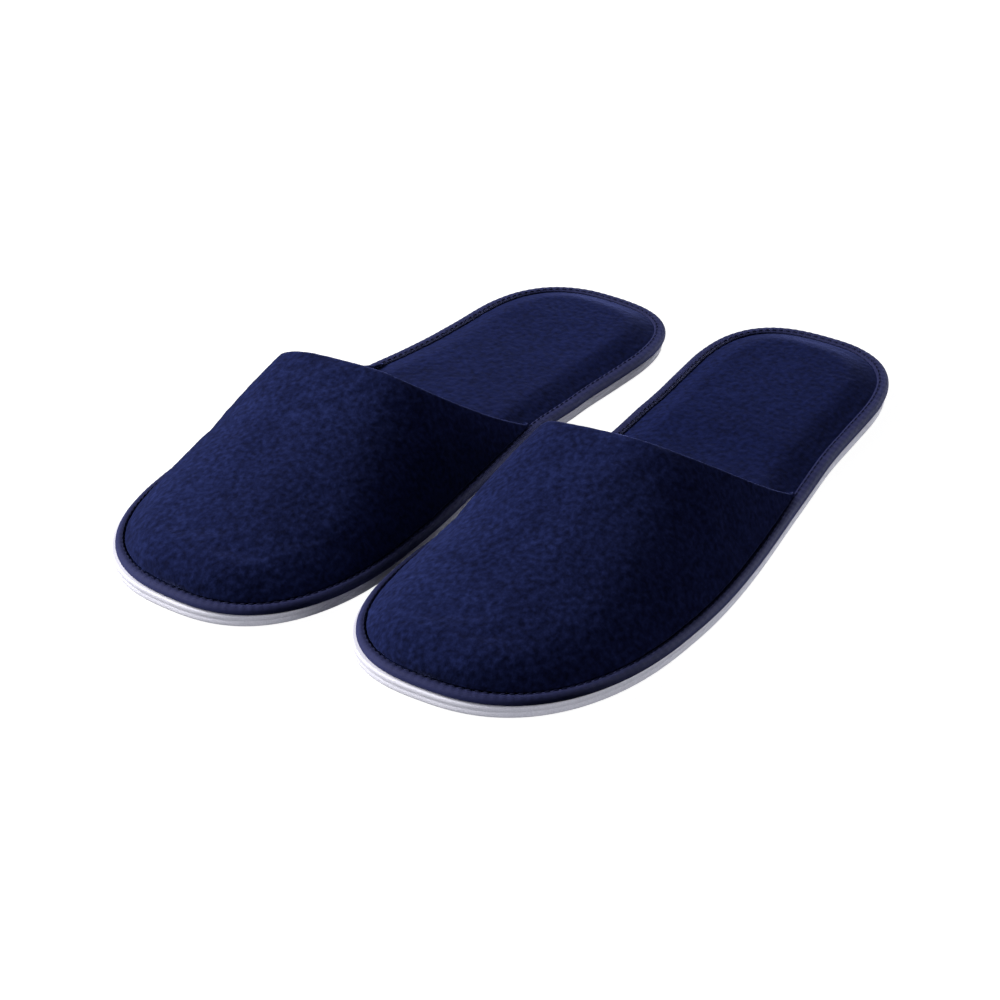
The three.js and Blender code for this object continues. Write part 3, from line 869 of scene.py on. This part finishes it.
def upper_inward(foot, across, y):
    """Into the thickness: square to the face, but level along the foot that stands on the insole."""
    step = 0.01
    more, less = np.minimum(across + step, 1), np.maximum(across - step, -1)
    sideways = upper_point(foot, more, y) - upper_point(foot, less, y)
    forward = upper_point(foot, across, y + step) - upper_point(foot, across, y - step)
    inward = np.cross(forward, sideways)
    inward /= np.maximum(np.linalg.norm(inward, axis=-1), 1e-9)[..., None]
    ahead, behind = across_at(UPPER_INSET, across, y + step), across_at(UPPER_INSET, across, y - step)
    lean = (ahead - behind) / (2 * step)
    level = np.stack([-np.sign(across), lean * np.sign(across)], axis=-1)
    level /= np.linalg.norm(level, axis=-1)[..., None]
    at_tip = y <= UPPER_TIP_Y + 1e-6
    at_edge = np.abs(across) > 1 - step
    climbing = np.concatenate([level, np.full((*across.shape, 1), FOOT_CLIMB)], axis=-1)
    climbing = np.where(at_tip[..., None], (0, 1, FOOT_CLIMB), climbing)
    return np.where((at_edge | at_tip)[..., None], climbing, inward)


@functools.lru_cache
def upper_swell(foot):
    """How the padded velour swells between the seam at its foot and the firm throat edge."""
    across = columns(foot)[:: UPPER_COLUMNS // UPPER_CLOTH_COLUMNS]
    share = upper_share(np.linspace(1 / UPPER_CLOTH_ROWS, 1, UPPER_CLOTH_ROWS))
    y = UPPER_TIP_Y + (throat_y(foot, across)[None] - UPPER_TIP_Y) * share[:, None]
    points = upper_point(foot, np.broadcast_to(across, y.shape), y)
    held = np.zeros(y.shape)
    held[-1] = THROAT_FIRMNESS
    held[0] = 1
    held[:, (0, -1)] = 1
    moved = cloth_swell(points, held, UPPER_PRESSURE, UPPER_SLACK, UPPER_SWELL_CAP)
    still = np.zeros((1, *moved.shape[1:]))
    return refined(np.concatenate([still, moved]), UPPER_ROWS + 1, UPPER_COLUMNS + 1)


def swell_at(foot, across, y):
    """The swell read off at places given across and along the slipper."""
    share = clamp01((y - UPPER_TIP_Y) / (throat_y(foot, across) - UPPER_TIP_Y))
    row = UPPER_ROWS * share ** (1 / ROW_CROWDING)
    col = np.interp(across, columns(foot), np.arange(UPPER_COLUMNS + 1))
    return sampled(upper_swell(foot), row, col)


def upper_layer(foot, depth, across, y):
    """Points at a depth below the outer face; the layers are pressed thinner toward the foot."""
    outer = upper_point(foot, across, y) + swell_at(foot, across, y)
    full = FOOT_TAPER + (1 - FOOT_TAPER) * smooth((outer[..., 2] - FOOT_HEIGHT) / TAPER_HEIGHT)
    return outer + upper_inward(foot, across, y) * (depth * full)[..., None]


@functools.lru_cache
def columns(foot):
    """Positions across, spaced by the length of the arch at mid length and of the throat edge together."""
    fine = np.sin(np.linspace(-math.pi / 2, math.pi / 2, ARCH_SAMPLES))
    arch = upper_point(foot, fine, np.full(len(fine), float(RIDGE_TOP_Y - ARCH_AHEAD_OF_RIDGE_TOP)))
    throat = upper_point(foot, fine, throat_y(foot, fine))
    steps = sum(np.linalg.norm(np.diff(line, axis=0), axis=1) for line in (arch, throat))
    run = np.concatenate([[0], np.cumsum(steps)])
    return np.interp(np.linspace(0, run[-1], UPPER_COLUMNS + 1), run, fine)


def upper_share(row):
    """Rows crowd together toward the toe tip."""
    return row**ROW_CROWDING


def upper_rows(foot, short):
    """Plan positions of rows from the toe tip to a line some distance short of the throat."""
    across = columns(foot)
    share = upper_share(np.arange(UPPER_ROWS + 1) / UPPER_ROWS)[:, None]
    y = UPPER_TIP_Y + (throat_y(foot, across)[None] - short - UPPER_TIP_Y) * share
    return np.broadcast_to(across, y.shape), y


def shell_face(foot, start, end, out):
    """A face of the velour from the toe tip over the throat edge and back along the inside."""
    across, y = upper_rows(foot, 0)
    turn = np.linspace(0, math.pi, THROAT_TURN_ROWS + 1)[1:]
    depth = [np.full(y.shape, float(start))]
    rows = [y]
    rim = throat_y(foot, columns(foot))
    for angle in turn:
        rows.append((rim + out * math.sin(angle))[None])
        depth.append(np.full((1, len(rim)), start + (end - start) * (1 - math.cos(angle)) / 2))
    for back in np.linspace(0, TURNED_EDGE, TURNED_EDGE_ROWS + 1)[1:]:
        rows.append((rim - back)[None])
        depth.append(np.full((1, len(rim)), float(end)))
    y = np.concatenate(rows)
    depth = np.concatenate(depth)
    across = np.broadcast_to(across[0], y.shape)
    return upper_layer(foot, depth, across, y), upper_inward(foot, across, y), depth


def upper_shell_body(foot):
    """Velour of the upper, turned in at the throat, with its pile on the side that shows."""
    outer, inward, depth = shell_face(foot, 0, UPPER_DEPTH, EDGE_ROUNDING)
    inner = shell_face(foot, SHELL_THICKNESS, UPPER_DEPTH - SHELL_THICKNESS,
                       EDGE_ROUNDING - SHELL_THICKNESS)[0]
    facing = (1 - 2 * depth / UPPER_DEPTH)[..., None]
    tufts = pile_height(outer, UPPER_TUFT, UPPER_PILE)[..., None]
    return slab(outer - inward * facing * tufts, inner)


def upper_fill_body(foot, top, bottom, short):
    """Sponge or lining: both stop short of the turned edge, and the lining covers the sponge."""
    across, y = upper_rows(foot, TURNED_EDGE + short)
    depth = np.ones(y.shape)
    return slab(upper_layer(foot, depth * top, across, y), upper_layer(foot, depth * bottom, across, y))


def throat_stitches_body(foot):
    """The seam that holds the turned edge, just inside the throat."""
    across = columns(foot)[SEAM_FROM_COLUMN:-SEAM_FROM_COLUMN]
    y = throat_y(foot, across) - TURNED_EDGE / 2
    depth = np.full(y.shape, UPPER_DEPTH + 2 * LAYER_GAP + THREAD_RADIUS)
    line = upper_layer(foot, depth, across, y)
    run = np.concatenate([[0], np.cumsum(np.linalg.norm(np.diff(line, axis=0), axis=1))])
    count = int(run[-1] / STITCH_PITCH) * THREAD_STEPS_PER_STITCH
    want = np.linspace(0, run[-1], count)
    path = np.stack([np.interp(want, run, line[:, k]) for k in range(3)], axis=1)
    sections = thread_sections(path, np.broadcast_to((0, 1, 0), path.shape))
    points = np.concatenate([sections.reshape(-1, 3), path[:1], path[-1:]])
    faces = grid_faces(count, THREAD_SIDES, 0, False, True)
    last = (count - 1) * THREAD_SIDES
    start_centre, end_centre = count * THREAD_SIDES, count * THREAD_SIDES + 1
    for j in range(THREAD_SIDES):
        after = (j + 1) % THREAD_SIDES
        faces.append([start_centre, j, after])
        faces.append([end_centre, last + after, last + j])
    return points, faces


# ------------------------------------------------------------------ the pair
def plan_area(inset):
    """Area inside the inset outline, in square metres."""
    ring = inset_ring(OUTLINE, inset)
    after = np.roll(ring, -1, axis=0)
    return abs((ring[:, 0] * after[:, 1] - ring[:, 1] * after[:, 0]).sum() / 2) * MM * MM


def build_sole(foot):
    """The foam sole, the layers on it, and the tape and seam round its rim."""
    points, faces = sole_body()
    shifted = points + (SOLE_SIDEWAYS[foot], 0, 0)
    sole = add_piece(f"{foot}_foam_sole", foot, (shifted, faces), MATERIALS["white_eva"])
    bends(sole, foot, "outsole")
    board = add_piece(f"{foot}_stiffener", foot, board_body(), MATERIALS["board"])
    bends(board, foot, "insole_board")
    sponge = add_piece(f"{foot}_insole_sponge", foot, insole_sponge_body(), MATERIALS["foam"])
    bends(sponge, foot, "insole_padding")
    cover = add_piece(f"{foot}_insole_velour", foot, insole_cover_body(), MATERIALS["insole"])
    bends(cover, foot, "insole_cover")
    plan_area(STACK_INSET)
    tape = add_piece(f"{foot}_edge_tape", foot, tape_body(), MATERIALS["binding"])
    bends(tape, foot, "edge_binding")
    stitches = add_piece(f"{foot}_edge_stitches", foot, edge_stitches_body(),
                         MATERIALS["thread"])
    bends(stitches, foot, "edge_seam_thread")


def build_upper(foot):
    """The padded upper: velour, sponge, lining and the seam inside its throat."""
    shell = add_piece(f"{foot}_velour_upper", foot, upper_shell_body(foot), MATERIALS["velour"])
    rides(shell, foot, "vamp_shell")
    sponge = add_piece(f"{foot}_upper_sponge", foot,
                       upper_fill_body(foot, SPONGE_DEPTH, SPONGE_DEPTH + SPONGE_THICKNESS, SPONGE_SHORT),
                       MATERIALS["foam"])
    rides(sponge, foot, "vamp_padding")
    lining = add_piece(f"{foot}_upper_lining", foot,
                       upper_fill_body(foot, LINING_DEPTH, UPPER_DEPTH, LINING_SHORT),
                       MATERIALS["lining"])
    rides(lining, foot, "vamp_lining")
    thread = add_piece(f"{foot}_throat_stitches", foot, throat_stitches_body(foot),
                       MATERIALS["thread"])
    rides(thread, foot, "throat_seam_thread")


# ------------------------------------------------------------------ studio
CAMERA_AZIMUTH_DEG = 34.8
CAMERA_ELEVATION_DEG = 30.0
CAMERA_DISTANCE = 1.036
CAMERA_TARGET = Vector((-0.00135, -0.01522, -0.001))
CAMERA_LENS_MM = 99.04
SENSOR_MM = 36
FLOOR_REACH = 30
FLOOR_DROP = 0.0003

# Each light's azimuth and elevation in degrees, distance and size in metres, power, colour, and the
# part that it is kept to, if any. Those kept to one part stand in for what the white floor throws back.
LIGHTS = [
    ("rim_front", -20, 8, 2.0, 1.2, 23, (0.97, 0.97, 1.0), "foam_sole"),
    ("rim_right", 80, 8, 2.0, 1.2, 26, (0.97, 0.97, 1.0), "foam_sole"),
    ("rim_left", -110, 8, 2.0, 1.2, 7, (0.97, 0.97, 1.0), "foam_sole"),
    ("rim_back", 170, 8, 2.0, 1.2, 34, (0.97, 0.97, 1.0), "foam_sole"),
    ("tape_front", -42, 14, 2.0, 1.4, 84, (0.95, 0.97, 1.0), "edge_tape"),
    ("tape_back", 150, 14, 2.0, 1.4, 86, (0.95, 0.97, 1.0), "edge_tape"),
    ("upper_right", 100, 14, 2.0, 1.2, 9, (1.0, 0.84, 0.86), "velour_upper"),
    ("key", -67, 31, 1.9, 1.3, 78, (1.0, 0.98, 0.97), None),
    ("front_fill", 0, 60, 2.4, 1.6, 1.5, (0.9, 0.93, 1.0), None),
    ("back_fill", 160, 35, 2.4, 1.6, 4.5, (0.95, 0.96, 1.0), None),
]


def direction(azimuth_deg, elevation_deg):
    """Unit vector from the object; azimuth 0 stands in front of the toes, 90 to the right of them."""
    az, el = math.radians(azimuth_deg), math.radians(elevation_deg)
    return Vector((math.sin(az) * math.cos(el), -math.cos(az) * math.cos(el), math.sin(el)))


def aim(thing, target):
    """Turns a camera or a light toward a point."""
    thing.rotation_euler = (target - thing.location).to_track_quat("-Z", "Y").to_euler()


def build_camera():
    """A long lens that looks down at the toes from their right."""
    data = bpy.data.cameras.new("camera")
    data.lens = CAMERA_LENS_MM
    data.sensor_width = SENSOR_MM
    camera = bpy.data.objects.new("camera", data)
    toward_camera = direction(CAMERA_AZIMUTH_DEG, CAMERA_ELEVATION_DEG)
    camera.location = CAMERA_TARGET + CAMERA_DISTANCE * toward_camera
    aim(camera, CAMERA_TARGET)
    bpy.context.scene.collection.objects.link(camera)
    bpy.context.scene.camera = camera


@functools.lru_cache
def both(part):
    """A collection of one part of both slippers."""
    group = bpy.data.collections.new(f"both_{part}")
    bpy.context.scene.collection.children.link(group)
    for foot in SIDE:
        group.objects.link(bpy.data.objects[f"{foot}_{part}"])
    return group


def build_light(name, azimuth, elevation, distance, size, power, colour, part):
    """A round soft light aimed at the slippers."""
    data = bpy.data.lights.new(name, "AREA")
    data.shape = "DISK"
    data.size = size
    data.energy = power
    data.color = colour
    light = bpy.data.objects.new(name, data)
    light.location = distance * direction(azimuth, elevation)
    aim(light, Vector((0, 0, 0)))
    bpy.context.scene.collection.objects.link(light)
    if part:
        light.light_linking.receiver_collection = both(part)


def build_floor():
    """A white floor that takes a faint shadow and throws no light up at the slippers."""
    mesh = bpy.data.meshes.new("floor")
    corners = [(x * FLOOR_REACH, y * FLOOR_REACH, 0) for x, y in ((-1, -1), (1, -1), (1, 1), (-1, 1))]
    mesh.from_pydata(corners, [], [(0, 1, 2, 3)])
    floor = bpy.data.objects.new("floor", mesh)
    floor.location.z = -FLOOR_DROP
    bpy.context.scene.collection.objects.link(floor)
    material, _, _, shader = node_material("floor_white")
    shader.inputs["Base Color"].default_value = (0.25, 0.25, 0.25, 1)
    shader.inputs["Roughness"].default_value = 1
    shader.inputs["Specular IOR Level"].default_value = 0
    shader.inputs["Emission Color"].default_value = (1, 1, 1, 1)
    shader.inputs["Emission Strength"].default_value = 0.97
    mesh.materials.append(material)
    floor.visible_diffuse = False
    floor.visible_glossy = False


def build_studio():
    """Dim surroundings, soft lights with the key on the left of the toes, and the floor."""
    world = bpy.data.worlds.new("studio")
    bpy.context.scene.world = world
    world.use_nodes = True
    background = world.node_tree.nodes["Background"]
    background.inputs["Color"].default_value = (0.85, 0.9, 1.0, 1)
    background.inputs["Strength"].default_value = 0.06
    bpy.context.scene.view_settings.view_transform = "Standard"
    for light in LIGHTS:
        build_light(*light)
    build_floor()


build_camera()
for foot in ("right", "left"):
    build_sole(foot)
    build_upper(foot)
build_studio()
